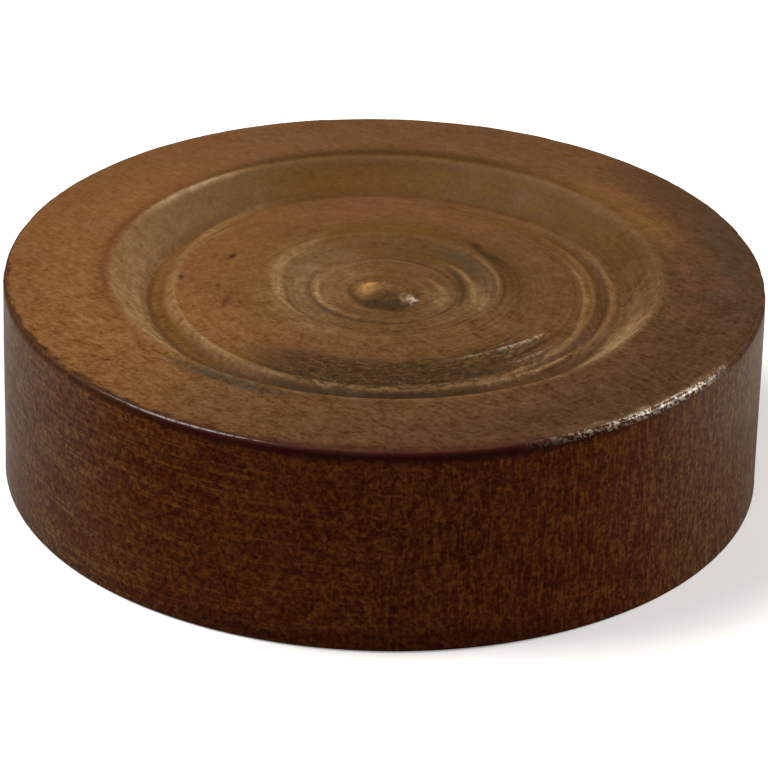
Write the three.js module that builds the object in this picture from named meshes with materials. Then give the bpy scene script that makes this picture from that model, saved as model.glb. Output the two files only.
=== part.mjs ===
// A dealer button: one puck of wood, turned on a lathe, that marks the dealer's seat at a card table.
// The whole object is a single solid of revolution about +Z. It stands on z = 0, and the origin is
// the centre of its base. Lengths are in millimetres.
//
// The top face is a flat outer rim round a shallow turned dish. From the rim inwards the cutter left
// a sloping wall, a narrow floor with one ridge at its inner side, a broad ring that rises a little
// towards the centre, a smaller inner dish with a step and a groove in it, and a low domed nub where
// the piece was held at its centre.

import * as THREE from 'three';

// Driving dimensions.
const DISC_DIAMETER = 64;
const DISC_HEIGHT = 18;
const TOP_ARRIS_RADIUS = 0.4;
const BASE_ARRIS_RADIUS = 0.3;
const SEGMENTS_AROUND = 96;
const STEPS_PER_ARRIS = 3;

// Corners of the dish, from the rim inwards, joined by straight cuts. Radius is from the axis, and
// depth is below the rim's flat face.
const DISH_CORNERS = [
  { radius: 23.1, depth: 0.0 }, // rim's inner edge, top of the wall
  { radius: 19.9, depth: 2.5 }, // foot of the wall
  { radius: 18.5, depth: 2.3 }, // outer foot of the ridge
  { radius: 17.7, depth: 1.6 }, // crest of the ridge
  { radius: 17.0, depth: 1.75 }, // inner foot of the ridge
  { radius: 16.4, depth: 1.62 }, // outer edge of the broad ring
  { radius: 9.85, depth: 1.0 }, // inner edge of the broad ring, lip of the inner dish
  { radius: 8.2, depth: 1.5 }, // foot of the inner dish's wall
  { radius: 6.6, depth: 1.6 }, // outer edge of the groove
  { radius: 6.3, depth: 1.8 }, // bottom of the groove
  { radius: 5.8, depth: 1.6 }, // lip of the inner step
  { radius: 4.6, depth: 1.9 }, // foot of the inner step
];

// The domed nub at the centre.
const NUB_RADIUS = 3.0;
const NUB_FOOT_DEPTH = 2.0;
const NUB_CROWN_DEPTH = 1.1;
const NUB_STEPS = 6;

const discRadius = DISC_DIAMETER / 2;

// Points of a quarter circle about (centreX, centreZ), both ends included.
function quarterRound(centreX, centreZ, radius, startAngle) {
  const points = [];
  for (let step = 0; step <= STEPS_PER_ARRIS; step += 1) {
    const angle = startAngle + (Math.PI / 2) * (step / STEPS_PER_ARRIS);
    const x = centreX + radius * Math.cos(angle);
    const z = centreZ + radius * Math.sin(angle);
    points.push(new THREE.Vector2(x, z));
  }
  return points;
}

// The nub's outline, level at its foot and at its crown.
function nubOutline() {
  const points = [];
  for (let step = 0; step <= NUB_STEPS; step += 1) {
    const along = step / NUB_STEPS;
    const risen = (1 - Math.cos(Math.PI * along)) / 2;
    const depth = THREE.MathUtils.lerp(NUB_FOOT_DEPTH, NUB_CROWN_DEPTH, risen);
    points.push(new THREE.Vector2(NUB_RADIUS * (1 - along), DISC_HEIGHT - depth));
  }
  return points;
}

// Half of the cross-section, from the centre of the base, out and up the side, and back in over the
// rim and the dish to the axis.
function discProfile() {
  const baseCentre = discRadius - BASE_ARRIS_RADIUS;
  const topCentre = discRadius - TOP_ARRIS_RADIUS;
  return [
    new THREE.Vector2(0, 0),
    ...quarterRound(baseCentre, BASE_ARRIS_RADIUS, BASE_ARRIS_RADIUS, -Math.PI / 2),
    ...quarterRound(topCentre, DISC_HEIGHT - TOP_ARRIS_RADIUS, TOP_ARRIS_RADIUS, 0),
    ...DISH_CORNERS.map((corner) => new THREE.Vector2(corner.radius, DISC_HEIGHT - corner.depth)),
    ...nubOutline(),
  ];
}

// The turned disc, with the lathe's axis stood up along +Z.
function turnedDisc() {
  const geometry = new THREE.LatheGeometry(discProfile(), SEGMENTS_AROUND);
  geometry.rotateX(Math.PI / 2);
  const stainedWood = new THREE.MeshStandardMaterial({
    color: 0x6a4525,
    roughness: 0.5,
    metalness: 0,
  });
  const mesh = new THREE.Mesh(geometry, stainedWood);
  mesh.name = 'turned_disc';
  return mesh;
}

const dealerButton = new THREE.Group();
dealerButton.name = 'dealer_button';
dealerButton.add(turnedDisc());

export default dealerButton;
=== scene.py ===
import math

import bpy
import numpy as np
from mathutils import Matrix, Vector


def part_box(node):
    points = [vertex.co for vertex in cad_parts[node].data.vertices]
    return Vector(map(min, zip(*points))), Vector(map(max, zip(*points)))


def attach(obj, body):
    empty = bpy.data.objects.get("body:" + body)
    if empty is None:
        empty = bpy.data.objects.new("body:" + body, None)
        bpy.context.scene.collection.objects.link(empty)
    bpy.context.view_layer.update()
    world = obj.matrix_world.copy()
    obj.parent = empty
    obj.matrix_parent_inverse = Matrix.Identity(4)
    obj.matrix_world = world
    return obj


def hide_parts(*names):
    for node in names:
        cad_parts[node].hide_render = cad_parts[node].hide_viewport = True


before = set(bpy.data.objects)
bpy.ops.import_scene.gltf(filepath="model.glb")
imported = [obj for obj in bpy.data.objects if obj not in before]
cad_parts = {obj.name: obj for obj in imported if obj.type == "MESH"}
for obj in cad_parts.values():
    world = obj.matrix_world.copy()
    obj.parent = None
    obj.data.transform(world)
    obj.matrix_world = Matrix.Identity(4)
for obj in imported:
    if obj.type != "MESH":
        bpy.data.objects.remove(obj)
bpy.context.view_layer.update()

# Looks of the turned wooden dealer button. The CAD disc sets the place and the size. A finer lathe
# mesh replaces it here, with tool marks, torn grain and a worn arris (its top edge), and a procedural
# material of stained and varnished wood. The photograph's stains, and the light, shade and highlights
# painted into the colour with them, are written below as lists of marks, and kept on the mesh as a
# colour at each vertex. Lengths are in millimetres until a mesh, a light or the camera is made. Angles
# are in degrees, anticlockwise from +X as seen from above, so the front that the camera sees is at 270.

MM = 0.001

node_low, node_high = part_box("turned_disc")
RADIUS = (node_high.x - node_low.x) / 2 / MM
HEIGHT = (node_high.z - node_low.z) / MM

# ---------------------------------------------------------------- turned shape

RIM_INNER_RADIUS = 23.1
DISH_EDGE = RIM_INNER_RADIUS + 0.9  # the finely spaced rings of the dish start here
TOP_ARRIS = 0.45
BASE_ARRIS = 0.3
WORN_WIDTH = 1.5  # breadth of the worn strip at the rim's outer edge
TOP_TOLERANCE = 1e-6
SEGMENTS = 464
RINGS = {"base": 4, "base_arris": 5, "side": 9, "top_arris": 8, "worn": 9, "rim": 20, "dish": 156}

CORNER_SOFTNESS = 0.10
CORNER_SHIFTS = (-1.0, -0.5, 0.0, 0.5, 1.0)
CORNER_SHARE = 1 / len(CORNER_SHIFTS)

TORN_ANGLE = 280  # the middle of the stretch where the cutter tore the grain
CREST_RADIUS = 17.9
CREST_ANGLE = 290
PROUD_REACH = 12  # how many rings on each side say what stands proud
MARKED_DEPTH = 4  # how far below the rim the painted marks and glints may reach
NARROW = 0.6  # a painted mark whose half width is always below this has crisp edges
RUBBED_ANGLE = 312  # where the arris is rubbed through
ROUGH_CREST = 0.07
ROUGH_TORN = 0.05
ROUGH_NUB = 0.20
NUB_REACH = 2.6
NUB_LUMP = (1.6, -0.9, 0.75, 0.6, 0.26)  # x, y, reach along x, reach along y, height

# Corners of the dish, from the centre out: radius, and depth below the rim.
DISH = (
    (0.0, 1.22),
    (0.7, 1.27),
    (1.5, 1.50),
    (2.3, 1.83),
    (3.0, 1.97),
    (4.6, 1.9),
    (5.8, 1.6),
    (6.3, 1.8),
    (6.6, 1.6),
    (8.2, 1.5),
    (9.85, 1.0),
    (16.4, 1.62),
    (17.0, 1.75),
    (17.7, 1.6),
    (18.5, 2.3),
    (19.9, 2.5),
    (RIM_INNER_RADIUS, 0.0),
    (RIM_INNER_RADIUS + 1.0, 0.0),
)

# Ridges (and, where the height is negative, cuts) that run part of the way round, often as spirals.
# Each is a list of places: angle, radius, half width, height. What lies between two places is
# interpolated, and an angle past 360 has gone on round.
TOOL_MARKS = (
    (
        (112, 20.3, 0.30, 0.0), (125, 20.1, 0.35, 0.10), (142, 19.2, 0.40, 0.18),
        (160, 18.4, 0.4, 0.10), (175, 18.1, 0.4, 0.0),
    ),
    (
        (283, 18.1, 0.20, 0.0), (300, 18.3, 0.25, 0.25), (345, 19.2, 0.60, 0.45),
        (385, 19.5, 0.65, 0.40), (420, 19.7, 0.5, 0.0),
    ),
    (
        (318, 18.0, 0.20, 0.0), (330, 18.3, 0.18, -0.12), (370, 18.7, 0.18, -0.12),
        (400, 19.1, 0.20, 0.0),
    ),
    (
        (286, 14.0, 0.20, 0.0), (296, 14.2, 0.25, 0.10), (312, 14.7, 0.28, 0.20),
        (325, 15.2, 0.22, 0.15), (331, 15.4, 0.2, 0.0),
    ),
    ((290, 15.2, 0.20, 0.0), (300, 15.7, 0.25, -0.16), (325, 15.9, 0.22, -0.14), (334, 16.1, 0.2, 0.0)),
    ((240, 13.6, 0.18, 0.0), (262, 13.5, 0.20, -0.08), (298, 13.3, 0.18, 0.0)),
    (
        (-22, 8.0, 0.30, 0.0), (-10, 7.6, 0.30, 0.16), (20, 7.4, 0.30, 0.20), (40, 7.3, 0.30, 0.10),
        (55, 7.2, 0.3, 0.0),
    ),
    ((-30, 6.9, 0.22, 0.0), (-15, 6.6, 0.22, -0.12), (25, 6.7, 0.22, -0.14), (48, 6.9, 0.2, 0.0)),
    ((150, 6.8, 0.20, 0.0), (170, 6.4, 0.20, -0.08), (240, 6.0, 0.20, -0.06), (262, 6.0, 0.2, 0.0)),
    ((-60, 5.6, 0.25, 0.0), (-10, 5.4, 0.25, 0.06), (20, 4.7, 0.25, 0.14), (50, 4.4, 0.25, 0.0)),
    ((130, 4.2, 0.20, 0.0), (190, 4.0, 0.20, -0.07), (250, 3.8, 0.2, 0.0)),
    ((285, 7.6, 0.18, 0.0), (315, 7.8, 0.18, 0.07), (345, 8.0, 0.18, 0.0)),
    ((20, 12.9, 0.20, 0.0), (80, 12.6, 0.20, 0.04), (140, 12.2, 0.2, 0.0)),
    ((330, 16.6, 0.25, 0.0), (365, 16.7, 0.30, 0.08), (395, 16.5, 0.25, 0.0)),
    ((25, 17.7, 0.60, 0.0), (60, 17.7, 0.70, -0.35), (115, 17.7, 0.70, -0.35), (150, 17.7, 0.6, 0.0)),
    ((25, 19.2, 0.90, 0.0), (60, 19.0, 1.00, 0.25), (115, 19.0, 1.00, 0.25), (150, 19.2, 0.9, 0.0)),
)


def lattice(cells, seed):
    """A repeatable number from -1 to 1 for each whole-number cell."""
    mixed = cells[..., 0] * 374761393 + cells[..., 1] * 668265263 + cells[..., 2] * 2147483647
    mixed = (mixed + seed * 1274126177) & 0xFFFFFFFF
    mixed = ((mixed ^ (mixed >> 13)) * 1274126177) & 0xFFFFFFFF
    mixed = mixed ^ (mixed >> 16)
    return (mixed & 0xFFFF) / 32767.5 - 1


def noise(x, y, z, size, seed):
    """Smooth noise from -1 to 1 whose bumps are about size across, or a size for each axis."""
    sizes = np.broadcast_to(np.array(size, float), (3,))
    points = np.stack(np.broadcast_arrays(x, y, z), -1) / sizes
    cells = np.floor(points).astype(np.int64)
    part = points - cells
    part = part * part * (3 - 2 * part)
    total = 0.0
    for corner in np.ndindex(2, 2, 2):
        corner = np.array(corner)
        weight = np.prod(np.where(corner == 1, part, 1 - part), axis=-1)
        total = total + weight * lattice(cells + corner, seed)
    return total


def towards(angle, middle):
    """1 at the middle angle, falling smoothly to 0 on the far side."""
    return (1 + np.cos(angle - math.radians(middle))) / 2


def smooth(value, low, high):
    """0 below low, 1 above high and a smooth step between."""
    part = np.clip((value - low) / (high - low), 0, 1)
    return part * part * (3 - 2 * part)


def dish_depth(radius):
    """Depth below the rim, from corner to corner, with each corner a little rounded."""
    radii, depths = np.array(DISH).T
    depth = 0.0
    for shift in CORNER_SHIFTS:
        place = np.abs(radius + shift * CORNER_SOFTNESS)
        depth = depth + CORNER_SHARE * np.interp(place, radii, depths)
    return depth


def along_mark(radius, angle, mark, crisp=2):
    """Strength of a mark at each point: full on its line, and falling off past its half width."""
    places = np.array(mark)
    start = places[0, 0]
    turn = np.mod(np.degrees(angle) - start, 360)
    turns = places[:, 0] - start
    middle, half_width, strength = (np.interp(turn, turns, column) for column in places[:, 1:].T)
    falloff = np.exp(-(np.abs((radius - middle) / half_width) ** crisp))
    return np.where(turn <= turns[-1], strength * falloff, 0)


def profile_points():
    """Half the cross-section from the centre of the base round to the centre of the top."""
    points = [(radius, 0.0) for radius in np.linspace(0, RADIUS - BASE_ARRIS, RINGS["base"])]
    for angle in np.linspace(-90, 0, RINGS["base_arris"])[1:]:
        x = RADIUS - BASE_ARRIS + BASE_ARRIS * math.cos(math.radians(angle))
        points.append((x, BASE_ARRIS + BASE_ARRIS * math.sin(math.radians(angle))))
    side_low = BASE_ARRIS
    side_high = HEIGHT - TOP_ARRIS
    for z in np.linspace(side_low, side_high, RINGS["side"])[1:-1]:
        points.append((RADIUS, z))
    for angle in np.linspace(0, 90, RINGS["top_arris"]):
        x = RADIUS - TOP_ARRIS + TOP_ARRIS * math.cos(math.radians(angle))
        points.append((x, side_high + TOP_ARRIS * math.sin(math.radians(angle))))
    worn_edge = RADIUS - WORN_WIDTH
    worn = np.linspace(RADIUS - TOP_ARRIS, worn_edge, RINGS["worn"])[1:]
    rim = np.linspace(worn_edge, DISH_EDGE, RINGS["rim"])[1:]
    dish = np.linspace(DISH_EDGE, 0, RINGS["dish"])[1:]
    points += [(radius, HEIGHT) for radius in (*worn, *rim, *dish)]
    return np.array(points)


def torn_grain(angle, radius):
    """Where the cutter tore the grain: across the front of the broad ring, out past its ridge."""
    across = smooth(radius, 12.8, 14.0) * (1 - smooth(radius, 17.5, 18.5))
    return across * smooth(towards(angle, TORN_ANGLE), 0.78, 0.94)


def turned_radius(radius, angle):
    """Distance from the axis the dish was turned on, which sits a little back from the disc's own."""
    outer = smooth(radius, 18.5, 22)
    return radius - 0.35 * np.sin(angle) * outer - 0.15 * np.cos(angle - 2.4) * (1 - outer)


def top_height(x, y, radius, angle):
    """Height of the top face: the dish and its wobble, the tool marks and everything rough."""
    turned = turned_radius(radius, angle)
    depth = dish_depth(turned)
    depth = depth * (1 + 0.03 * noise(np.cos(angle), np.sin(angle), turned / 6, 0.9, 3))
    height = HEIGHT - depth
    for mark in TOOL_MARKS:
        height = height + along_mark(turned, angle, mark)
    rough = 0.6 * noise(x, y, 0, 0.62, 11) + 0.8 * noise(x, y, 0, 0.34, 12)
    torn = torn_grain(angle, turned)
    height = height + ROUGH_TORN * rough * torn
    crest = np.exp(-(((turned - CREST_RADIUS) / 0.5) ** 2))
    ridge = 0.7 * crest * towards(angle, CREST_ANGLE) ** 3
    for mark in SPLINTERS:
        ridge = np.maximum(ridge, along_mark(radius, angle, mark))
    height = height + ROUGH_CREST * rough * ridge
    lump_x, lump_y, reach_x, reach_y, lump = NUB_LUMP
    height = height + lump * np.exp(-(((x - lump_x) / reach_x) ** 2) - ((y - lump_y) / reach_y) ** 2)
    height = height + ROUGH_NUB * rough * np.exp(-((radius / NUB_REACH) ** 4))
    height = height + 0.015 * noise(x, y, 0, 7, 21)
    return height


def shine(x, y, radius, angle):
    """Where the varnish is thick enough to glint, and where white highlights are painted into the
    colour.
    """
    total = np.zeros(radius.shape)
    for mark in (*SPLINTERS, *SHINY_ARRIS):
        total = np.maximum(total, along_mark(radius, angle, mark))
    nub_x, nub_y, nub_reach = NUB_GLINT
    near = np.exp(-(((x - nub_x) / nub_reach) ** 2) - ((y - nub_y) / nub_reach) ** 2)
    return np.maximum(total, near)


def painted_stain_and_light(x, y, radius, angle):
    """Colour and cover of all the painted marks together at each point."""
    colour = np.zeros((*radius.shape, 3))
    cover = np.zeros(radius.shape)
    wall_radius = turned_radius(radius, angle)
    on_wall = smooth(wall_radius, 19.75, 20.05) * (1 - smooth(wall_radius, 22.95, 23.15))
    shares = []
    for mark_colour, places in WALL_STAIN_AND_LIGHT:
        angles, strengths = np.array(places).T
        turn = np.mod(np.degrees(angle) - angles[0], 360)
        strength = np.interp(turn, angles - angles[0], strengths, right=0)
        shares.append((mark_colour, strength * on_wall))
    wander = 0.05 + 0.22 * smooth(radius, RADIUS - 2.5, RADIUS - 1.0)
    ragged = radius + wander * (noise(x, y, 0, 0.9, 41) + 0.7 * noise(x, y, 0, 0.45, 42))
    for mark_colour, mark in PAINTED:
        narrow = max(place[2] for place in mark) < NARROW
        shares.append((mark_colour, along_mark(ragged, angle, mark, 4 if narrow else 2)))
    for mark_colour, middle_x, middle_y, reach_x, reach_y, strength in SPOTS:
        spread = ((x - middle_x) / reach_x) ** 2 + ((y - middle_y) / reach_y) ** 2
        shares.append((mark_colour, strength * np.exp(-(spread ** 1.6))))
    for mark_colour, share in shares:
        share = np.clip(share, 0, 1)
        colour = colour * (1 - share)[..., None] + share[..., None] * np.array(mark_colour)
        cover = 1 - (1 - cover) * (1 - share)
    return np.concatenate([colour / np.maximum(cover, 1e-4)[..., None], cover[..., None]], -1)


def ring_faces(rings):
    """Faces over rings of vertices in a row, closed by a centre vertex at the base and at the top."""
    faces = []
    last = rings - 1
    for ring in range(last):
        for step in range(SEGMENTS):
            after = (step + 1) % SEGMENTS
            low, high = ring * SEGMENTS, (ring + 1) * SEGMENTS
            faces.append((low + step, low + after, high + after, high + step))
    base_centre = rings * SEGMENTS
    top_centre = base_centre + 1
    for step in range(SEGMENTS):
        after = (step + 1) % SEGMENTS
        faces.append((base_centre, after, step))
        faces.append((top_centre, last * SEGMENTS + step, last * SEGMENTS + after))
    return faces


def disc_mesh():
    """The disc as a closed mesh of rings, with what the material needs to know at each vertex."""
    base = profile_points()
    rings = len(base)
    angle = np.linspace(0, 2 * math.pi, SEGMENTS, endpoint=False)[None, :]
    radius = np.repeat(base[:, 0][:, None], SEGMENTS, 1)
    z = np.repeat(base[:, 1][:, None], SEGMENTS, 1)
    top = z > HEIGHT - TOP_TOLERANCE
    side = (z > BASE_ARRIS) & (z < HEIGHT - TOP_TOLERANCE) & (radius > RADIUS - TOP_ARRIS)
    x, y = radius * np.cos(angle), radius * np.sin(angle)
    angle = np.broadcast_to(angle, radius.shape)
    z = np.where(top, top_height(x, y, radius, angle), z)

    # The arris is nicked and rubbed unevenly, and the side was sanded a little out of true.
    near_arris = smooth(z, HEIGHT - 1.2, HEIGHT - 0.1) * smooth(radius, RADIUS - 1.0, RADIUS - 0.2)
    worn = 0.5 + 0.5 * noise(x, y, 0, 2.2, 31)
    nicked = np.clip(noise(x, y, 0, 0.8, 32) - 0.35, 0, 1)
    rough_arc = 0.3 + 1.4 * towards(angle, RUBBED_ANGLE) ** 8
    inward = near_arris * (0.10 * worn + 0.24 * nicked * rough_arc)
    rubbed = smooth(radius, RADIUS - 0.95, RADIUS - 0.15) * top * towards(angle, RUBBED_ANGLE) ** 10
    z = z - rubbed * (0.42 + 0.20 * noise(x, y, 0, 0.5, 34))
    inward = inward + np.where(side, 0.03 * (1 + noise(x, y, z, (5, 5, 4), 33)), 0)
    radius = radius - inward
    z = z - near_arris * np.where(top, 0.5 * inward, 0)
    x, y = radius * np.cos(angle), radius * np.sin(angle)

    # How far each point stands proud of the rings on both sides of its own.
    spread = np.exp(-np.linspace(-2.5, 2.5, 2 * PROUD_REACH + 1) ** 2 / 2)
    padded = np.pad(z, ((PROUD_REACH, PROUD_REACH), (0, 0)), mode="edge")
    around = sum(share * padded[k : k + rings] for k, share in enumerate(spread / spread.sum()))
    in_dish = top & (radius < RIM_INNER_RADIUS + 1)
    proud = np.where(in_dish, z - around, 0)

    marked = z > HEIGHT - MARKED_DEPTH
    paint = painted_stain_and_light(x, y, radius, angle)
    paint[..., 3] *= marked
    glint = np.where(marked, shine(x, y, radius, angle), 0)
    torn = np.where(top, torn_grain(angle, radius), 0)
    marks = {"proud": proud, "shine": glint, "torn": torn}

    # The first and last rings have no radius, so one centre vertex stands for each.
    vertices = np.stack([x, y, z], -1)[1:-1].reshape(-1, 3)
    vertices = np.concatenate([vertices, [[0, 0, 0.0]], [[0, 0, z[-1, 0]]]])
    marks = {name: values[1:-1].reshape(-1) for name, values in marks.items()}
    marks = {name: np.append(values, [0, values[-1]]) for name, values in marks.items()}
    paint = paint[1:-1].reshape(-1, 4)
    paint = np.concatenate([paint, np.zeros((1, 4)), paint[-1:]])
    return vertices, ring_faces(rings - 2), marks, paint


def make_disc():
    """The disc as a smooth-shaded object, with its marks and its paint as vertex attributes."""
    vertices, faces, marks, paint = disc_mesh()
    mesh = bpy.data.meshes.new("turned_wood")
    mesh.from_pydata((vertices * MM).tolist(), [], faces)
    mesh.update()
    for name, values in marks.items():
        attribute = mesh.attributes.new(name, "FLOAT", "POINT")
        attribute.data.foreach_set("value", values.astype(np.float32))
    layer = mesh.color_attributes.new(name="paint", type="FLOAT_COLOR", domain="POINT")
    layer.data.foreach_set("color", paint.astype(np.float32).reshape(-1))
    mesh.polygons.foreach_set("use_smooth", [True] * len(mesh.polygons))
    piece = bpy.data.objects.new("turned_wood", mesh)
    bpy.context.scene.collection.objects.link(piece)
    return piece


# ---------------------------------------------------------------- stained wood


class Nodes:
    """Adds nodes to one material and links them, so that a texture reads as a formula."""

    def __init__(self, tree):
        self.tree = tree

    def add(self, kind, inputs=(), **settings):
        node = self.tree.nodes.new(kind)
        for name, value in settings.items():
            setattr(node, name, value)
        for key, value in dict(inputs).items():
            self.feed(node.inputs[key], value)
        return node

    def feed(self, socket, value):
        if isinstance(value, bpy.types.NodeSocket):
            self.tree.links.new(value, socket)
        else:
            socket.default_value = value

    def math(self, operation, a, b=0.0, clamp=False):
        node = self.add("ShaderNodeMath", {0: a, 1: b}, operation=operation, use_clamp=clamp)
        return node.outputs[0]

    def scaled(self, vector, factors):
        node = self.add("ShaderNodeVectorMath", {0: vector, 1: factors}, operation="MULTIPLY")
        return node.outputs[0]

    def noise(self, vector, size, detail=2.0, rough=0.5, warp=0.0):
        """Noise around 0.5, whose bumps are about size across along each axis, in vector's unit."""
        sizes = (size, size, size) if isinstance(size, (int, float)) else size
        placed = self.scaled(vector, tuple(1 / s for s in sizes))
        inputs = {"Vector": placed, "Scale": 1.0, "Detail": detail, "Roughness": rough}
        inputs["Distortion"] = warp
        return self.add("ShaderNodeTexNoise", inputs, noise_dimensions="3D").outputs[0]

    def rings(self, wood, across, spacing, length, detail, rough, warp=0.0):
        """Noise drawn out round the axis, whose bands repeat along across."""
        inputs = {0: self.math("MULTIPLY", across, spacing), 1: wood.x, 2: wood.y}
        vector = self.add("ShaderNodeCombineXYZ", inputs).outputs[0]
        return self.noise(vector, (1.0, length, length), detail, rough, warp)

    def step(self, value, low, high, start=0.0, end=1.0):
        """start below low, end above high, and a smooth step between."""
        inputs = {"Value": value, "From Min": low, "From Max": high, "To Min": start, "To Max": end}
        node = self.add("ShaderNodeMapRange", inputs, interpolation_type="SMOOTHSTEP")
        return node.outputs[0]

    def mix(self, share, a, b, blend="MIX"):
        node = self.add("ShaderNodeMix", data_type="RGBA", blend_type=blend)
        self.feed(node.inputs[0], share)
        self.feed(node.inputs[6], (*a, 1.0) if isinstance(a, tuple) else a)
        self.feed(node.inputs[7], (*b, 1.0) if isinstance(b, tuple) else b)
        return node.outputs[2]

    def shaded(self, colour, change):
        """Colour made lighter and greyer where change is above 0, darker and richer below 0."""
        parts = {}
        for channel, gain in enumerate(SHADE_GAINS):
            part = self.math("ADD", 1.0, self.math("MULTIPLY", change, gain))
            parts[channel] = self.math("MAXIMUM", part, 0.05)
        factor = self.add("ShaderNodeCombineColor", parts).outputs[0]
        return self.mix(1.0, colour, factor, "MULTIPLY")


# Stains, wood colours and the colours of painted light and shade, as linear red, green and blue.
AMBER = (0.165, 0.069, 0.0185)
TAN = (0.205, 0.112, 0.042)
PALE = (0.255, 0.150, 0.066)
BROWN = (0.107, 0.047, 0.0140)
ROSE = (0.118, 0.052, 0.0220)
ROSY = (0.150, 0.055, 0.022)
UMBER = (0.058, 0.028, 0.0110)
OLIVE = (0.100, 0.045, 0.0040)
GREY_OLIVE = (0.105, 0.066, 0.026)
SHADED_STAIN = (0.065, 0.0078, 0.0006)
SIDE_AMBER = (0.078, 0.0165, 0.0010)
FLECK = (0.148, 0.044, 0.0042)
SHEENED_FLECK = (0.150, 0.080, 0.024)
DARK_LINE = (0.036, 0.0125, 0.0025)
DEEP = (0.026, 0.0125, 0.0030)
DARK_RED = (0.075, 0.018, 0.005)
MAROON = (0.032, 0.0036, 0.0012)
SLATE = (0.042, 0.037, 0.026)
RED = (0.180, 0.055, 0.028)
HONEY = (0.350, 0.175, 0.050)
# The white of painted highlights.
GLEAM = (0.560, 0.455, 0.340)

# Colour over the whole wall of the dish, partly stain and partly painted light and shade: paler on the
# left and right, where the lights fall on the wall, olive at the back and darker umber at the front.
# Each is a colour, and a list of places: angle, strength.
WALL_STAIN_AND_LIGHT = (
    (OLIVE, ((0, 0.0), (25, 0.7), (110, 0.75), (140, 0.35), (160, 0.0))),
    (GREY_OLIVE, ((110, 0.0), (130, 0.55), (165, 0.5), (190, 0.0))),
    (TAN, (
        (125, 0.0), (165, 0.55), (200, 0.9), (226, 0.9), (238, 0.3), (300, 0.3), (314, 0.9), (335, 0.9),
        (352, 0.5), (378, 0.0),
    )),
    (PALE, (
        (155, 0.0), (190, 0.5), (212, 0.9), (224, 0.9), (236, 0.1), (304, 0.1), (316, 0.9), (333, 0.85),
        (349, 0.0),
    )),
    (UMBER, ((222, 0.0), (238, 0.65), (262, 0.45), (304, 0.35), (312, 0.0))),
)

# Small spots of colour round the nub: colour, x, y, reach along x, reach along y, strength. The dark
# spots in front of it are painted shade, the honey spot on its left flank is partly bare wood and
# partly painted light, and the white and pale spots on its right-front flank are a painted highlight.
SPOTS = (
    (DEEP, 0.4, -1.7, 1.3, 1.1, 0.65),
    (DEEP, -0.9, -2.2, 0.9, 0.7, 0.7),
    (DEEP, 1.0, -2.8, 1.0, 0.6, 0.8),
    (HONEY, -1.4, 0.5, 0.80, 1.35, 0.85),
    (GLEAM, 2.35, -1.05, 0.45, 0.28, 0.65),
    (PALE, 1.75, -1.35, 0.50, 0.26, 0.7),
)

# Where torn splinters stand up and the varnish on them glints: angle, radius, half width, strength.
SPLINTERS = (
    (
        (288, 14.1, 0.14, 0.0), (298, 14.2, 0.14, 0.3), (312, 14.6, 0.17, 0.5), (326, 15.1, 0.20, 0.7),
        (331, 15.2, 0.2, 0.0),
    ),
    ((293, 18.1, 0.15, 0.0), (305, 18.2, 0.16, 0.2), (325, 18.4, 0.18, 0.2), (334, 18.4, 0.15, 0.0)),
    ((306, 16.5, 0.14, 0.0), (316, 16.65, 0.16, 0.3), (326, 16.75, 0.14, 0.0)),
)

# Where the varnish on the arris glints, and where it is rubbed through, in the same way.
SHINY_ARRIS = (
    (
        (222, 31.76, 0.11, 0.0), (232, 31.76, 0.10, 0.45), (250, 31.76, 0.10, 0.60),
        (262, 31.78, 0.11, 0.25), (292, 31.9, 0.3, 0.1),
    ),
    (
        (290, 31.8, 0.30, 0.1), (300, 31.65, 0.36, 0.65), (310, 31.60, 0.42, 1.0),
        (324, 31.60, 0.42, 1.0), (333, 31.8, 0.3, 0.0),
    ),
)
NUB_GLINT = (2.2, -1.1, 0.48)  # x, y, reach
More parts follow.
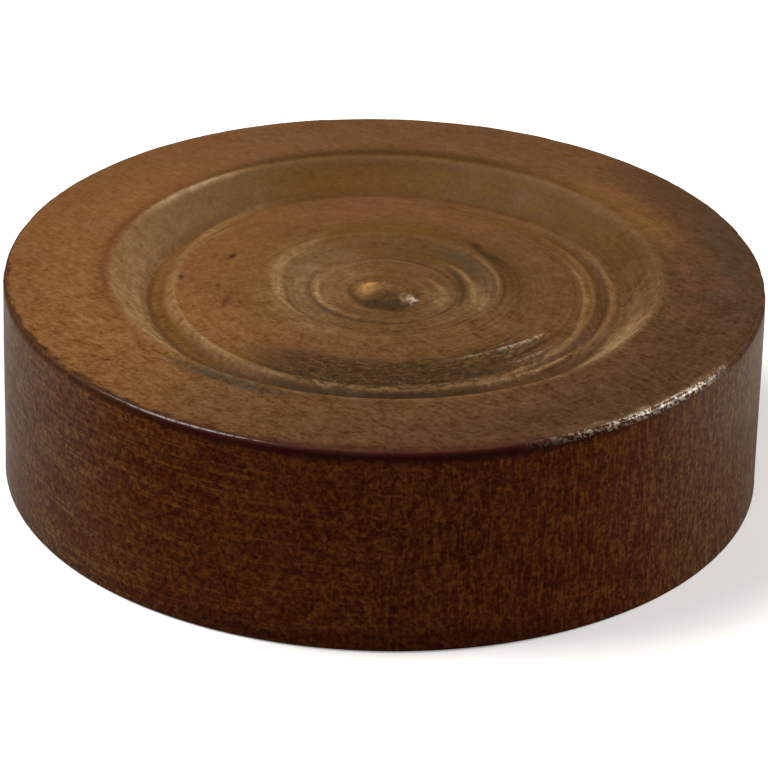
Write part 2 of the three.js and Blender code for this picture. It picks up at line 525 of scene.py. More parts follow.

# Marks on the top face: where the stain pooled, wore off or changed colour, and where light and shade
# are painted in, as pale lines on lit edges and crests, dark bands on faces turned from the light and
# painted highlights. Each is a colour and a list of places: angle, radius, half width, strength. Each
# one lies over the ones before it.
PAINTED = (
    # The rim, and the edge where the wall of the dish meets it.
    (UMBER, (
        (52, 23.6, 0.5, 0.0), (66, 24.1, 0.9, 0.8), (90, 24.1, 1.1, 0.9), (110, 24.0, 0.9, 0.8),
        (126, 23.9, 0.5, 0.0),
    )),
    (DARK_LINE, (
        (54, 23.6, 0.4, 0.0), (72, 23.95, 0.7, 0.8), (90, 23.95, 0.8, 0.95), (108, 23.9, 0.7, 0.8),
        (135, 23.8, 0.4, 0.4), (150, 23.7, 0.3, 0.0),
    )),
    (DARK_RED, (
        (140, 23.8, 0.3, 0.0), (154, 23.65, 0.42, 0.7), (185, 23.5, 0.40, 0.6), (216, 23.4, 0.3, 0.0),
    )),
    # Painted highlight: a pale line with a white core along the back-left edge of the wall.
    (PALE, (
        (116, 23.6, 0.2, 0.0), (126, 23.45, 0.30, 0.95), (147, 23.25, 0.30, 0.95),
        (160, 23.1, 0.2, 0.0),
    )),
    (GLEAM, (
        (124, 23.45, 0.12, 0.0), (132, 23.40, 0.16, 0.35), (143, 23.30, 0.16, 0.3),
        (150, 23.2, 0.12, 0.0),
    )),
    (DARK_LINE, ((-22, 23.3, 0.18, 0.0), (0, 23.2, 0.2, 0.4), (22, 23.2, 0.2, 0.0))),
    (RED, (
        (26, 24.2, 0.9, 0.0), (31, 24.3, 0.8, 0.55), (36, 24.0, 0.6, 0.2), (40, 23.6, 0.5, 0.5),
        (44, 23.5, 0.4, 0.0),
    )),
    (RED, ((37, 26.2, 0.9, 0.0), (41, 26.2, 0.7, 0.4), (46, 26.4, 0.8, 0.0))),
    (ROSY, ((0, 25.3, 0.8, 0.0), (5, 25.3, 0.7, 0.5), (10, 25.4, 0.8, 0.0))),
    (AMBER, ((10, 25.3, 1.5, 0.0), (22, 25.4, 1.7, 0.55), (45, 25.4, 1.8, 0.5), (62, 26.0, 1.8, 0.0))),
    (UMBER, ((6, 30.5, 2.2, 0.3), (15, 30.5, 2.6, 0.6), (40, 30.6, 2.6, 0.55), (52, 31.0, 2.0, 0.0))),
    (SLATE, (
        (221, 23.9, 0.5, 0.0), (231, 23.6, 0.8, 0.8), (243, 23.5, 0.9, 0.85), (256, 23.7, 0.5, 0.0),
    )),
    (UMBER, (
        (268, 28.8, 2.2, 0.0), (288, 28.8, 2.6, 0.45), (305, 28.6, 3.0, 0.75), (325, 28.0, 3.5, 0.8),
        (352, 28.0, 3.5, 0.5), (366, 28.0, 3.2, 0.0),
    )),
    # The floor of the cove and the ridge's worn crest.
    (DEEP, (
        (165, 19.9, 0.2, 0.0), (178, 19.8, 0.25, 0.5), (205, 19.7, 0.3, 0.5), (222, 19.6, 0.3, 0.3),
        (235, 19.5, 0.3, 0.0),
    )),
    (OLIVE, (
        (168, 19.2, 0.7, 0.0), (190, 19.0, 0.6, 0.55), (222, 18.9, 0.6, 0.6), (250, 18.7, 0.4, 0.0),
    )),
    (SLATE, (
        (216, 19.5, 0.5, 0.0), (228, 19.5, 0.7, 0.7), (243, 19.4, 0.7, 0.6), (256, 19.2, 0.5, 0.0),
    )),
    (TAN, (
        (112, 20.3, 0.2, 0.0), (122, 20.2, 0.3, 0.4), (142, 19.2, 0.45, 0.65), (158, 18.5, 0.5, 0.65),
        (180, 18.0, 0.5, 0.6), (210, 17.75, 0.40, 0.6), (245, 17.7, 0.24, 0.8), (270, 17.7, 0.20, 0.95),
        (300, 17.8, 0.20, 0.9), (330, 17.5, 0.26, 0.5), (350, 17.0, 0.26, 0.7), (372, 16.8, 0.26, 0.65),
        (396, 16.6, 0.2, 0.0),
    )),
    (PALE, (
        (282, 18.0, 0.12, 0.0), (298, 18.1, 0.14, 0.6), (322, 18.35, 0.2, 0.7), (340, 18.4, 0.2, 0.0),
    )),
    (PALE, (
        (232, 17.75, 0.10, 0.0), (250, 17.7, 0.13, 0.6), (285, 17.7, 0.13, 0.7), (305, 17.8, 0.12, 0.0),
    )),
    # Painted shade: a dark band on the ridge's outer face at the front, turned away from the light.
    (DEEP, (
        (232, 18.5, 0.15, 0.0), (250, 18.35, 0.32, 0.85), (272, 18.3, 0.36, 0.9),
        (292, 18.35, 0.28, 0.75), (306, 18.5, 0.12, 0.0),
    )),
    (DEEP, (
        (318, 18.8, 0.15, 0.0), (328, 18.4, 0.15, 0.4), (350, 18.5, 0.16, 0.55),
        (372, 18.9, 0.16, 0.55), (390, 19.4, 0.15, 0.35), (405, 19.7, 0.15, 0.0),
    )),
    (TAN, (
        (328, 19.2, 0.4, 0.0), (345, 19.4, 0.45, 0.5), (372, 19.6, 0.45, 0.5), (402, 19.8, 0.4, 0.0),
    )),
    (OLIVE, (
        (340, 17.8, 0.5, 0.0), (355, 17.7, 0.5, 0.5), (375, 17.9, 0.6, 0.6), (410, 17.8, 1.0, 0.6),
        (440, 18.0, 1.0, 0.0),
    )),
    (DEEP, (
        (236, 17.0, 0.16, 0.0), (244, 17.1, 0.25, 0.6), (255, 16.9, 0.15, 0.5), (290, 16.9, 0.16, 0.5),
        (300, 16.7, 0.2, 0.6), (312, 16.5, 0.16, 0.0),
    )),
    # The broad ring: rosy at the back, torn and dark at the front, with specks at the left.
    (ROSY, (
        (62, 16.0, 2.6, 0.0), (80, 16.2, 3.0, 0.5), (100, 16.0, 3.0, 0.6), (118, 15.0, 2.0, 0.35),
        (135, 13.0, 1.6, 0.0),
    )),
    (OLIVE, (
        (50, 11.0, 1.0, 0.0), (65, 11.0, 1.3, 0.6), (90, 11.0, 1.4, 0.5), (115, 10.8, 1.2, 0.5),
        (128, 10.6, 0.8, 0.0),
    )),
    (DEEP, (
        (220, 15.5, 1.2, 0.0), (238, 15.6, 1.7, 0.45), (262, 15.5, 1.7, 0.85), (284, 15.6, 1.6, 0.75),
        (300, 16.2, 0.9, 0.35), (314, 16.4, 0.5, 0.0),
    )),
    (DEEP, (
        (230, 16.9, 0.3, 0.0), (246, 16.9, 0.38, 0.75), (275, 16.8, 0.45, 0.85),
        (298, 16.9, 0.38, 0.65), (314, 17.0, 0.3, 0.0),
    )),
    (OLIVE, (
        (228, 15.4, 1.4, 0.0), (245, 15.4, 1.7, 0.35), (285, 15.4, 1.6, 0.4), (305, 15.8, 1.2, 0.0),
    )),
    # Painted highlights: pale streaks along the torn splinters at the front right.
    (PALE, (
        (290, 14.1, 0.12, 0.0), (298, 14.2, 0.13, 0.5), (312, 14.6, 0.15, 0.7), (326, 15.1, 0.20, 0.8),
        (331, 15.2, 0.15, 0.0),
    )),
    (PALE, (
        (306, 16.3, 0.10, 0.0), (314, 16.6, 0.13, 0.6), (324, 16.7, 0.12, 0.5), (329, 16.8, 0.1, 0.0),
    )),
    (PALE, (
        (300, 14.9, 0.10, 0.0), (310, 15.1, 0.12, 0.5), (322, 15.5, 0.12, 0.5), (328, 15.6, 0.1, 0.0),
    )),
    (PALE, ((300, 13.6, 0.08, 0.0), (308, 13.9, 0.10, 0.4), (318, 14.3, 0.10, 0.0))),
    (DEEP, (
        (292, 15.6, 0.15, 0.0), (302, 15.7, 0.22, 0.7), (326, 15.8, 0.22, 0.6), (334, 16.0, 0.15, 0.0),
    )),
    (SLATE, ((-25, 29.5, 1.5, 0.0), (-5, 29.5, 1.6, 0.3), (20, 29.8, 1.6, 0.3), (38, 30.0, 1.2, 0.0))),
    (DEEP, (
        (14, 10.9, 0.5, 0.0), (30, 10.7, 0.59, 0.8), (39, 10.6, 0.5, 0.6), (46, 11.1, 0.5, 0.8),
        (55, 11.4, 0.4, 0.0),
    )),
    (TAN, ((42, 11.5, 0.15, 0.0), (46, 12.0, 0.2, 0.4), (51, 12.2, 0.15, 0.0))),
    (DARK_RED, ((116, 12.2, 0.5, 0.0), (122, 11.9, 0.6, 0.5), (128, 11.4, 0.5, 0.0))),
    (DEEP, ((171.5, 17.3, 0.2, 0.0), (174, 17.3, 0.28, 0.9), (176.5, 17.3, 0.2, 0.0))),
    (DARK_RED, ((153, 14.2, 0.3, 0.0), (157.5, 14.1, 0.34, 0.9), (162, 14.0, 0.3, 0.0))),
    (DEEP, ((154, 14.2, 0.2, 0.0), (157.5, 14.1, 0.24, 0.8), (161, 14.0, 0.2, 0.0))),
    (DEEP, ((179, 14.0, 0.2, 0.0), (181.5, 14.0, 0.24, 0.9), (184, 14.0, 0.2, 0.0))),
    (DARK_RED, (
        (189, 13.3, 0.2, 0.0), (193, 13.5, 0.28, 0.7), (196, 13.8, 0.3, 0.9), (200, 13.9, 0.2, 0.0),
    )),
    # The small inner dish.
    (DEEP, (
        (-32, 10.1, 0.14, 0.0), (-15, 10.1, 0.15, 0.5), (20, 10.0, 0.16, 0.55), (40, 10.2, 0.14, 0.0),
    )),
    (PALE, (
        (118, 10.1, 0.3, 0.0), (132, 9.9, 0.35, 0.45), (165, 9.4, 0.5, 0.75), (195, 8.9, 0.55, 0.85),
        (212, 8.7, 0.35, 0.5), (228, 8.4, 0.2, 0.0),
    )),
    (GREY_OLIVE, (
        (105, 8.2, 1.2, 0.0), (140, 8.0, 1.4, 0.6), (175, 7.6, 1.0, 0.6), (235, 7.0, 1.0, 0.4),
        (262, 7.0, 0.9, 0.0),
    )),
    (DEEP, (
        (180, 8.2, 0.14, 0.0), (203, 8.4, 0.19, 0.75), (225, 8.2, 0.18, 0.6), (246, 8.0, 0.14, 0.0),
    )),
    (DEEP, (
        (146, 6.9, 0.14, 0.0), (165, 6.5, 0.17, 0.75), (200, 6.1, 0.16, 0.75), (240, 5.95, 0.13, 0.65),
        (300, 6.1, 0.12, 0.65), (330, 6.1, 0.14, 0.75), (345, 6.2, 0.14, 0.0),
    )),
    (PALE, (
        (142, 6.3, 0.3, 0.0), (168, 5.9, 0.35, 0.65), (200, 5.5, 0.35, 0.7), (235, 5.3, 0.3, 0.45),
        (258, 5.2, 0.2, 0.0),
    )),
    (GREY_OLIVE, (
        (-50, 8.6, 0.8, 0.0), (-25, 8.8, 0.8, 0.6), (10, 8.6, 0.8, 0.5), (45, 8.4, 0.9, 0.3),
        (70, 8.4, 0.8, 0.0),
    )),
    (PALE, ((-40, 9.2, 0.3, 0.0), (-25, 9.0, 0.35, 0.5), (-5, 8.6, 0.3, 0.2), (5, 8.4, 0.2, 0.0))),
    (SLATE, ((14, 8.4, 0.55, 0.0), (32, 8.4, 0.8, 0.7), (50, 8.6, 0.7, 0.6), (64, 8.7, 0.4, 0.0))),
    (TAN, (
        (-36, 8.4, 0.5, 0.0), (-15, 8.1, 0.7, 0.75), (5, 7.8, 0.50, 0.7), (20, 7.6, 0.25, 0.4),
        (30, 7.5, 0.2, 0.0),
    )),
    (TAN, ((-36, 5.0, 0.6, 0.0), (-15, 4.9, 0.75, 0.65), (5, 4.9, 0.55, 0.6), (22, 4.8, 0.3, 0.0))),
    (PALE, (
        (-18, 7.7, 0.18, 0.0), (-5, 7.5, 0.26, 0.85), (20, 7.35, 0.24, 0.95), (36, 7.4, 0.2, 0.7),
        (48, 7.4, 0.15, 0.0),
    )),
    (DEEP, (
        (-26, 6.8, 0.18, 0.0), (-14, 6.6, 0.24, 0.9), (10, 6.6, 0.26, 0.95), (32, 6.8, 0.22, 0.9),
        (46, 7.0, 0.15, 0.0),
    )),
    (PALE, ((-12, 9.7, 0.12, 0.0), (5, 9.6, 0.16, 0.55), (28, 9.6, 0.15, 0.6), (40, 9.7, 0.12, 0.0))),
    (PALE, ((-10, 4.9, 0.16, 0.0), (5, 4.85, 0.2, 0.6), (34, 4.6, 0.18, 0.5), (50, 4.6, 0.15, 0.0))),
    (DEEP, ((-4, 5.5, 0.16, 0.0), (10, 5.4, 0.2, 0.5), (36, 5.3, 0.2, 0.5), (52, 5.2, 0.16, 0.0))),
    (TAN, ((-40, 5.2, 0.5, 0.0), (-15, 5.1, 0.5, 0.5), (0, 5.0, 0.3, 0.2), (12, 5.0, 0.3, 0.0))),
    (TAN, ((285, 6.4, 0.12, 0.0), (296, 6.3, 0.14, 0.6), (312, 6.3, 0.14, 0.4), (322, 6.3, 0.12, 0.0))),
    (DEEP, ((272, 7.9, 0.25, 0.0), (279, 7.8, 0.3, 0.4), (287, 7.7, 0.25, 0.0))),
    # Broad drifts of light and dark, partly the stain's own tone and partly painted light and shade:
    # the inner bowl lit at the left and shaded at the back right and the front, the front of the broad
    # ring, the cove and the rim shaded, and the nub's foot shaded, most at the front. Along the arris:
    # the worn stain, a dark band that is partly stain collected under the edge and partly painted
    # shade, and at the front right a pale rubbed strip under the painted highlight.
    (GREY_OLIVE, (
        (0, 6.0, 3.4, 0.35), (35, 6.5, 3.6, 0.15), (110, 6.5, 3.6, 0.10), (150, 6.0, 3.4, 0.30),
        (220, 6.0, 3.2, 0.20), (270, 6.0, 3.2, 0.10), (330, 6.0, 3.4, 0.30), (360, 6.0, 3.4, 0.35),
    )),
    (UMBER, (
        (205, 4.3, 1.0, 0.0), (235, 4.3, 1.2, 0.25), (280, 4.3, 1.3, 0.45), (310, 4.3, 1.0, 0.30),
        (325, 4.3, 0.8, 0.0),
    )),
    (OLIVE, ((15, 7.5, 2.6, 0.0), (35, 7.0, 3.0, 0.35), (90, 7.5, 3.0, 0.30), (130, 7.5, 2.6, 0.0))),
    (OLIVE, (
        (10, 24.0, 0.8, 0.0), (30, 24.0, 0.9, 0.35), (75, 24.0, 1.0, 0.5), (125, 23.9, 0.8, 0.3),
        (140, 23.8, 0.6, 0.0),
    )),
    (DEEP, (
        (226, 23.4, 0.8, 0.0), (245, 23.3, 0.9, 0.28), (300, 23.3, 0.9, 0.28), (345, 23.4, 0.8, 0.15),
        (400, 23.6, 0.8, 0.15), (420, 23.6, 0.8, 0.0),
    )),
    (TAN, ((-8, 19.3, 0.7, 0.0), (10, 19.3, 0.8, 0.2), (40, 19.3, 0.8, 0.2), (60, 19.3, 0.7, 0.0))),
    (PALE, ((100, 6.0, 3.0, 0.0), (135, 6.0, 3.6, 0.22), (185, 6.0, 3.6, 0.18), (215, 6.5, 3.0, 0.0))),
    (DEEP, (
        (-20, 8.0, 3.0, 0.0), (15, 9.0, 4.0, 0.24), (55, 8.0, 4.0, 0.28), (85, 7.5, 3.5, 0.20),
        (120, 7.0, 3.0, 0.10), (150, 7.0, 3.0, 0.0),
    )),
    (DEEP, ((225, 6.5, 2.2, 0.0), (250, 6.5, 2.4, 0.14), (300, 6.5, 2.4, 0.16), (340, 6.5, 2.2, 0.0))),
    (DEEP, (
        (205, 16.0, 3.0, 0.0), (245, 16.0, 3.2, 0.26), (300, 16.0, 3.2, 0.28), (340, 14.0, 3.0, 0.12),
        (360, 12.0, 3.0, 0.0),
    )),
    (DEEP, (
        (40, 24.2, 0.8, 0.0), (70, 24.2, 1.0, 0.25), (110, 24.2, 1.0, 0.20), (160, 24.0, 0.8, 0.12),
        (220, 24.0, 0.8, 0.2), (245, 23.8, 0.8, 0.0),
    )),
    (PALE, (
        (294, 31.5, 0.2, 0.0), (302, 31.4, 0.35, 0.5), (316, 31.4, 0.40, 0.6), (326, 31.5, 0.35, 0.5),
        (334, 31.7, 0.2, 0.0),
    )),
    (DARK_LINE, (
        (160, 31.95, 0.2, 0.0), (180, 31.85, 0.3, 0.9), (215, 31.65, 0.35, 0.95),
        (245, 31.45, 0.3, 0.85), (270, 31.2, 0.3, 0.7), (296, 31.2, 0.25, 0.0),
    )),
    (MAROON, (
        (205, 32.1, 0.3, 0.0), (220, 32.1, 0.5, 0.5), (232, 32.1, 0.75, 0.9), (245, 32.1, 0.95, 0.95),
        (270, 32.1, 1.25, 0.97), (290, 32.1, 1.15, 0.95), (305, 32.1, 0.7, 0.7), (335, 32.1, 0.4, 0.3),
        (350, 32.1, 0.3, 0.0),
    )),
    (PALE, ((185, 9.5, 1.5, 0.0), (205, 9.5, 1.6, 0.22), (245, 9.5, 1.4, 0.12), (265, 9.5, 1.4, 0.0))),
    (DEEP, ((-40, 11.2, 1.5, 0.0), (0, 11.2, 1.6, 0.25), (35, 11.2, 1.5, 0.22), (60, 11.2, 1.3, 0.0))),
    (DEEP, (
        (210, 19.3, 0.8, 0.0), (235, 19.2, 0.9, 0.4), (270, 18.9, 0.7, 0.35), (320, 19.3, 0.8, 0.4),
        (342, 19.6, 0.6, 0.0),
    )),
    (UMBER, ((0, 30.2, 2.6, 0.18), (360, 30.2, 2.6, 0.18))),
    (DARK_LINE, (
        (258, 29.0, 2.4, 0.0), (285, 29.0, 3.0, 0.14), (320, 28.5, 3.0, 0.14), (345, 28.5, 2.5, 0.0),
    )),
    (UMBER, (
        (212, 27.5, 4.0, 0.0), (240, 27.5, 4.0, 0.30), (300, 27.5, 4.0, 0.30), (335, 27.5, 4.0, 0.15),
        (360, 28.0, 3.0, 0.0),
    )),
    (DEEP, (
        (110, 3.3, 0.3, 0.0), (150, 3.2, 0.25, 0.4), (200, 2.6, 0.3, 0.5), (250, 2.4, 0.45, 0.75),
        (290, 2.5, 0.5, 0.75), (330, 2.9, 0.3, 0.6), (372, 2.6, 0.3, 0.5), (400, 2.9, 0.3, 0.0),
    )),
)

FIBRE_ANGLE = 45.0
SHADE_GAINS = (1.0, 1.35, 2.1)  # how much more green and blue change than red when wood is shaded
SPECULAR = 0.10
COAT_ROUGHNESS = 0.16


class Wood:
    """The coordinates and noises that the top's and the side's colours share."""

    def __init__(self, n):
        object_place = n.add("ShaderNodeTexCoord").outputs["Object"]
        self.place = n.scaled(object_place, (1 / MM, 1 / MM, 1 / MM))
        inputs = {"Vector": self.place, "Rotation": (0, 0, math.radians(FIBRE_ANGLE))}
        self.grain = n.add("ShaderNodeMapping", inputs).outputs[0]  # X runs along the fibres
        split = n.add("ShaderNodeSeparateXYZ", {0: self.place})
        self.x, self.y, self.z = split.outputs
        flat = n.scaled(self.place, (1.0, 1.0, 0.0))
        self.radius = n.add("ShaderNodeVectorMath", {0: flat}, operation="LENGTH").outputs["Value"]
        along = n.add("ShaderNodeSeparateXYZ", {0: self.grain}).outputs[0]
        share = n.math("DIVIDE", along, n.math("MAXIMUM", self.radius, 1.0))
        self.end_grain = n.math("MULTIPLY", share, share)
        self.proud = n.add("ShaderNodeAttribute", attribute_name="proud").outputs["Fac"]
        self.torn = n.add("ShaderNodeAttribute", attribute_name="torn").outputs["Fac"]
        self.shine = n.add("ShaderNodeAttribute", attribute_name="shine").outputs["Fac"]

        self.blotch = n.noise(self.place, 1.5, 3.0, 0.6, 0.8)
        self.mottle = n.noise(self.grain, (1.6, 0.5, 0.5), 3.0, 0.6, 0.5)
        self.dash = n.noise(self.grain, (0.9, 0.30, 1.9), 2.0, 0.5, 0.5)
        self.worm = n.noise(self.place, (0.75, 0.75, 0.85), 2.0, 0.5, 0.9)
        self.speck = n.noise(self.place, 0.42, 2.0, 0.6, 0.6)
        self.pore = n.noise(self.grain, (1.2, 0.22, 0.3), 2.0, 0.7, 0.2)
        self.turning = n.rings(self, self.radius, 3.2, 9.0, 2.0, 0.6)
        self.scratch = n.rings(self, self.radius, 4.0, 0.9, 4.0, 0.7, 0.5)
        self.side_turning = n.rings(self, self.z, 3.6, 7.0, 2.0, 0.6)


def facing(n, wood, angle, low, high):
    """0 to 1 from low to high of the cosine of the turn away from an angle."""
    turn = math.radians(angle)
    inputs = {0: wood.place, 1: (math.cos(turn), math.sin(turn), 0)}
    dot = n.add("ShaderNodeVectorMath", inputs, operation="DOT_PRODUCT")
    cosine = n.math("DIVIDE", dot.outputs["Value"], n.math("MAXIMUM", wood.radius, 1.0))
    return n.step(cosine, low, high)


def top_colour(n, wood):
    """Amber at the left through brown to umber at the right, under painted marks and mottling."""
    # Painted light in part: lighter at the left and darker at the right, partly the wood's own tone and
    # partly light falling from the left.
    drift = n.math("SUBTRACT", n.noise(wood.grain, (24, 8, 8), 3.0), 0.5)
    rightness = n.math("ADD", wood.x, n.math("MULTIPLY", drift, 30.0))
    colour = n.mix(n.step(rightness, -24.0, 4.0), AMBER, BROWN)
    colour = n.mix(n.step(rightness, 8.0, 34.0), colour, UMBER)
    warm = n.noise(wood.place, 5.0, 3.0, 0.6)
    colour = n.mix(n.step(warm, 0.50, 0.70, 0.0, 0.35), colour, ROSY)
    rosy = n.math("MULTIPLY", n.step(wood.y, 8.0, 28.0), 0.5)
    colour = n.mix(rosy, colour, ROSE)
    front = n.math("MULTIPLY", n.step(wood.y, -8.0, -28.0), n.step(wood.x, -22.0, -6.0))
    colour = n.mix(n.math("MULTIPLY", front, 0.35), colour, UMBER)

    paint = n.add("ShaderNodeAttribute", attribute_name="paint")
    broken = n.step(wood.blotch, 0.3, 0.7, 0.75, 1.15)
    share = n.math("MULTIPLY", paint.outputs["Alpha"], broken, clamp=True)
    colour = n.mix(share, colour, paint.outputs["Color"])

    # Ridges are worn pale; grooves are darker, partly dark stain held there and partly painted shade.
    colour = n.mix(n.step(wood.proud, 0.02, 0.2, 0.0, 0.3), colour, TAN)
    colour = n.mix(n.step(wood.proud, -0.01, -0.2, 0.0, 0.3), colour, DARK_LINE)

    # Dark scratches, pale scratches, dark cracks and pale splinters where the grain is torn.
    for value, low, high, amount, mark_colour in (
        (wood.scratch, 0.49, 0.57, 0.80, DEEP),
        (wood.scratch, 0.43, 0.35, 0.40, TAN),
        (wood.speck, 0.54, 0.64, 0.65, DEEP),
        (wood.speck, 0.44, 0.36, 0.35, TAN),
    ):
        share = n.math("MULTIPLY", n.step(value, low, high), n.math("MULTIPLY", wood.torn, amount))
        colour = n.mix(share, colour, mark_colour)

    # Mottling, fibres and sanding rings, all stronger toward the front.
    inner, right = n.step(wood.radius, 14.0, 8.0, 0.0, 0.3), n.step(wood.x, 0.0, 14.0, 0.6, 1.1)
    in_dish = n.step(wood.radius, 24.0, 20.0, 0.45, 1.0)
    rings = n.math("MULTIPLY", n.math("ADD", inner, right), in_dish)
    shade = n.math("MULTIPLY", n.math("SUBTRACT", wood.turning, 0.5), rings)
    fibrous = n.step(wood.radius, 22.5, 24.5, 0.40, 1.0)
    for value, amount in (
        (wood.mottle, n.math("MULTIPLY", fibrous, 1.1)),
        (wood.blotch, 1.0),
        (wood.speck, 1.2),
        (wood.pore, n.math("MULTIPLY", fibrous, 0.4)),
    ):
        shade = n.math("ADD", shade, n.math("MULTIPLY", n.math("SUBTRACT", value, 0.5), amount))
    busy = n.step(wood.y, 20.0, -20.0, 0.40, 1.0)
    return n.shaded(colour, n.math("MULTIPLY", shade, busy))


def side_colour(n, wood):
    """Darker, redder stained wood, with pale upright flecks on end grain and level streaks along it.
    The front is in painted shade, and a painted sheen greys the flecks toward the left and right.
    """
    # Painted shade in part: darker and redder at the front that faces the camera; toward the left and
    # right the flecks turn grey, a painted sheen.
    front = facing(n, wood, 278, 0.55, 0.95)
    colour = n.mix(front, SIDE_AMBER, SHADED_STAIN)
    sheened_ends = n.math("MAXIMUM", facing(n, wood, 352, 0.66, 0.98), facing(n, wood, 190, 0.66, 1.0))
    fleck_and_sheen = n.mix(sheened_ends, FLECK, SHEENED_FLECK)
    cloud = n.noise(wood.grain, (9, 5, 5), 3.0)
    colour = n.mix(n.step(cloud, 0.38, 0.65, 0.0, 0.16), colour, fleck_and_sheen)

    on_end_grain = n.step(wood.end_grain, 0.1, 0.8, 0.0, 0.60)
    upright = n.math("MULTIPLY", n.step(wood.dash, 0.47, 0.58), on_end_grain)
    between = n.step(wood.end_grain, 0.9, 0.4, 0.25, 0.75)
    worm = n.math("MULTIPLY", n.step(wood.worm, 0.46, 0.62), between)
    level_share = n.step(wood.end_grain, 0.75, 0.1)
    worm = n.math("MULTIPLY", worm, n.step(level_share, 0.0, 1.0, 1.0, 0.6))
    streak = n.step(wood.side_turning, 0.50, 0.66)
    level = n.math("MULTIPLY", streak, n.math("MULTIPLY", level_share, 0.7))
    for share in (upright, worm, level):
        colour = n.mix(share, colour, fleck_and_sheen)

    # Painted shade: the foot of the front is darker.
    base = n.math("MULTIPLY", n.step(wood.z, 2.8, 0.8), facing(n, wood, 272, 0.75, 0.98))
    colour = n.mix(n.math("MULTIPLY", base, 0.45), colour, MAROON)
    return n.shaded(colour, n.step(wood.speck, 0.3, 0.7, 0.45, -0.45))


def stained_wood():
    """Brown stained hardwood, its fibres running from the back left to the front right."""
    material = bpy.data.materials.new("stained_wood")
    material.use_nodes = True
    tree = material.node_tree
    tree.nodes.clear()
    n = Nodes(tree)
    wood = Wood(n)

    on_side = n.step(wood.radius, RADIUS - 0.42, RADIUS - 0.22)
    colour = n.mix(on_side, top_colour(n, wood), side_colour(n, wood))

    # A dark red band under the top arris, deepest at the front, with a jagged lower edge: partly
    # varnish that collected there, partly painted shade for the dark room mirrored in the edge.
    ragged = n.math("MULTIPLY", n.math("SUBTRACT", wood.worm, 0.5), 1.6)
    drop = n.math("SUBTRACT", HEIGHT, n.math("ADD", wood.z, ragged))
    reach = n.math("ADD", n.math("MULTIPLY", facing(n, wood, 275, 0.60, 0.98), 0.40), 0.55)
    pooled_and_shaded = n.step(n.math("DIVIDE", drop, reach), 0.6, 1.4, 1.0, 0.0)
    pooled_and_shaded = n.math("MULTIPLY", pooled_and_shaded, on_side)
    depth = n.math("MAXIMUM", facing(n, wood, 262, 0.30, 0.85), 0.60)
    pool_and_shade = n.mix(facing(n, wood, 275, 0.55, 0.85), DARK_LINE, MAROON)
    colour = n.mix(n.math("MULTIPLY", pooled_and_shaded, depth), colour, pool_and_shade)

    # Painted highlights: white broken glints painted into the colour on the torn fibres, the nub and
    # the arris rubbed through at the front right.
    arris = n.step(wood.radius, RADIUS - 0.72, RADIUS - 0.52)
    arris = n.math("MULTIPLY", arris, n.step(wood.x, 8.0, 22.0))
    arris = n.math("MULTIPLY", arris, n.step(wood.z, HEIGHT - 0.62, HEIGHT - 0.46))
    where = n.math("MAXIMUM", arris, n.step(wood.radius, 25.0, 24.0, 0.0, 0.7))
    flecks = n.math("MULTIPLY", n.step(wood.speck, 0.49, 0.57), n.math("MULTIPLY", wood.shine, where))
    colour = n.mix(flecks, colour, GLEAM)

    # The varnish is a coat where it glints, and a thin one over the side below the arris.
    rough = n.step(n.noise(wood.place, 3.0, 3.0), 0.3, 0.7, 0.52, 0.66)
    broken = n.step(wood.speck, 0.36, 0.52)
    glint = n.math("MULTIPLY", wood.shine, n.math("ADD", n.math("MULTIPLY", broken, 0.75), 0.25))
    below_arris = n.step(wood.z, HEIGHT - 0.30, HEIGHT - 0.80, 0.0, 0.35)
    polished = n.math("MAXIMUM", glint, n.math("MULTIPLY", on_side, below_arris), clamp=True)

    # The finest relief, in millimetres: grain, sanding rings and torn scratches.
    height = n.math("MULTIPLY", wood.mottle, 0.035)
    height = n.math("ADD", height, n.math("MULTIPLY", wood.turning, 0.020))
    height = n.math("ADD", height, n.math("MULTIPLY", wood.speck, 0.030))
    scratched = n.math("MULTIPLY", wood.scratch, wood.torn)
    height = n.math("SUBTRACT", height, n.math("MULTIPLY", scratched, 0.20))
    inputs = {"Height": n.math("MULTIPLY", height, MM), "Distance": 1.0, "Strength": 1.0}
    bump = n.add("ShaderNodeBump", inputs)

    inputs = {
        "Base Color": colour,
        "Roughness": rough,
        "Coat Weight": polished,
        "Normal": bump.outputs[0],
    }
    shader = n.add("ShaderNodeBsdfPrincipled", inputs)
    shader.inputs["Specular IOR Level"].default_value = SPECULAR
    shader.inputs["Coat Roughness"].default_value = COAT_ROUGHNESS
    n.add("ShaderNodeOutputMaterial", {"Surface": shader.outputs[0]})
    return material


# ---------------------------------------------------------------- stage, light and camera


FLOOR_HALF_SIDE = 3.0
FLOOR_SEEN = (0.88, 0.875, 0.86)
FLOOR_BOUNCED = (0.16, 0.155, 0.145)
FLOOR_MIRRORED_FRONT = (0.03, 0.03, 0.03)
FLOOR_MIRRORED_BACK = (0.40, 0.39, 0.37)
ROOM_SEEN = (0.98, 0.98, 0.97)
ROOM_BOUNCED = (0.07, 0.07, 0.07)

# Each soft light: name, direction from the disc, distance, width, height, power, colour, and whether
# its own reflection shows.
LIGHTS = (
    ("left_light", (-0.55, 0.05, 0.83), 0.9, 0.45, 0.45, 10.0, (1.0, 0.98, 0.95), True),
    ("right_light", (0.80, 0.15, 0.52), 0.9, 0.40, 0.40, 6.0, (1.0, 0.98, 0.96), True),
    ("front_fill", (0.0, -0.95, 0.30), 1.0, 0.60, 0.40, 2.2, (1.0, 0.98, 0.96), False),
)

CAMERA_ELEVATION = 27.2
CAMERA_DISTANCE = 12.44 * RADIUS
CAMERA_ROLL = 1.43
CAMERA_LENS = 220.0
SENSOR_WIDTH = 36.0
AIM_RIGHT = 0.16  # how far beside and below the disc's middle the camera looks
AIM_DOWN = 1.31


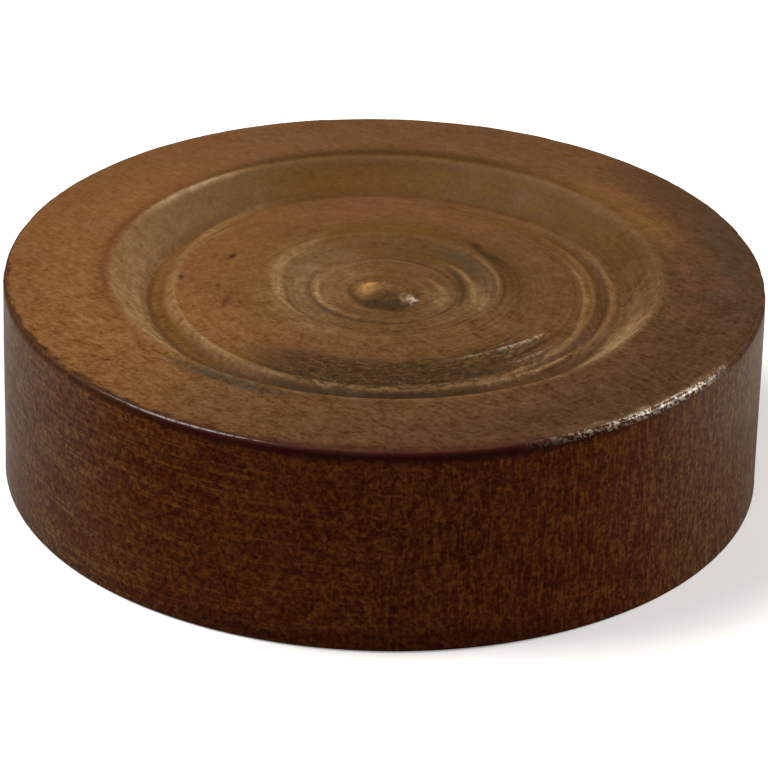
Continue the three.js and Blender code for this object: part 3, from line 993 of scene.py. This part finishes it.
def make_floor():
    """A plain pale floor, dimmer to the light it sends on to the disc than to the camera."""
    mesh = bpy.data.meshes.new("floor")
    half = FLOOR_HALF_SIDE
    corners = [(-half, -half, 0), (half, -half, 0), (half, half, 0), (-half, half, 0)]
    mesh.from_pydata(corners, [], [(0, 1, 2, 3)])
    floor = bpy.data.objects.new("floor", mesh)
    bpy.context.scene.collection.objects.link(floor)
    material = bpy.data.materials.new("pale_floor")
    material.use_nodes = True
    n = Nodes(material.node_tree)
    shader = material.node_tree.nodes["Principled BSDF"]
    shader.inputs["Roughness"].default_value = 0.9
    shader.inputs["Specular IOR Level"].default_value = 0.1
    path = n.add("ShaderNodeLightPath")
    seen = path.outputs["Is Camera Ray"]
    place = n.add("ShaderNodeTexCoord").outputs["Object"]
    behind = n.add("ShaderNodeSeparateXYZ", {0: place}).outputs[1]
    mirrored = n.mix(n.step(behind, -0.040, 0.005), FLOOR_MIRRORED_FRONT, FLOOR_MIRRORED_BACK)
    bounced = n.mix(path.outputs["Is Glossy Ray"], FLOOR_BOUNCED, mirrored)
    n.feed(shader.inputs["Base Color"], n.mix(seen, bounced, FLOOR_SEEN))

    # Toward the horizon the camera sees the floor brighten into the backdrop.
    far = n.add("ShaderNodeVectorMath", {0: place}, operation="LENGTH").outputs["Value"]
    glow = n.math("MULTIPLY", n.step(far, 0.10, 0.60, 0.22, 0.97), seen)
    shader.inputs["Emission Color"].default_value = (1.0, 1.0, 0.99, 1.0)
    n.feed(shader.inputs["Emission Strength"], glow)
    mesh.materials.append(material)


def aimed(location, target, roll=0.0):
    """A placement at location that looks at target, turned about its own line of sight."""
    sight = (Vector(location) - Vector(target)).normalized()
    turn = sight.to_track_quat("Z", "Y").to_matrix().to_4x4()
    return Matrix.Translation(location) @ turn @ Matrix.Rotation(math.radians(roll), 4, "Z")


def soft_light(name, direction, distance, width, height, power, colour, glossy):
    """A rectangular light that faces the disc."""
    light = bpy.data.lights.new(name, "AREA")
    light.shape = "RECTANGLE"
    light.size = width
    light.size_y = height
    light.energy = power
    light.color = colour
    lamp = bpy.data.objects.new(name, light)
    middle = Vector((0, 0, HEIGHT * MM))
    location = middle + Vector(direction).normalized() * distance
    lamp.matrix_world = aimed(location, middle)
    lamp.visible_glossy = glossy
    bpy.context.scene.collection.objects.link(lamp)


def make_world():
    """Dim room light, seen as a pale backdrop."""
    world = bpy.data.worlds.new("room")
    world.use_nodes = True
    bpy.context.scene.world = world
    n = Nodes(world.node_tree)
    background = world.node_tree.nodes["Background"]
    seen = n.add("ShaderNodeLightPath").outputs["Is Camera Ray"]
    n.feed(background.inputs["Color"], n.mix(seen, ROOM_BOUNCED, ROOM_SEEN))


def make_camera():
    """The photograph's view: from the front and above, turned a little about its line of sight."""
    camera = bpy.data.cameras.new("camera")
    camera.lens = CAMERA_LENS
    camera.sensor_width = SENSOR_WIDTH
    camera.clip_start = 0.01
    camera.clip_end = 20.0
    holder = bpy.data.objects.new("camera", camera)
    rise = math.radians(CAMERA_ELEVATION)
    back = Vector((0, -math.cos(rise), math.sin(rise)))
    up = Vector((0, math.sin(rise), math.cos(rise)))
    middle = Vector((0, 0, HEIGHT / 2))
    location = (middle + back * CAMERA_DISTANCE) * MM
    target = (middle - up * AIM_DOWN + Vector((AIM_RIGHT, 0, 0))) * MM
    holder.matrix_world = aimed(location, target, CAMERA_ROLL)
    bpy.context.scene.collection.objects.link(holder)
    bpy.context.scene.camera = holder


make_camera()
make_floor()
make_world()
for light_settings in LIGHTS:
    soft_light(*light_settings)
bpy.context.scene.view_settings.view_transform = "Standard"

disc = make_disc()
disc.data.materials.append(stained_wood())
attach(disc, "root")
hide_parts("turned_disc")
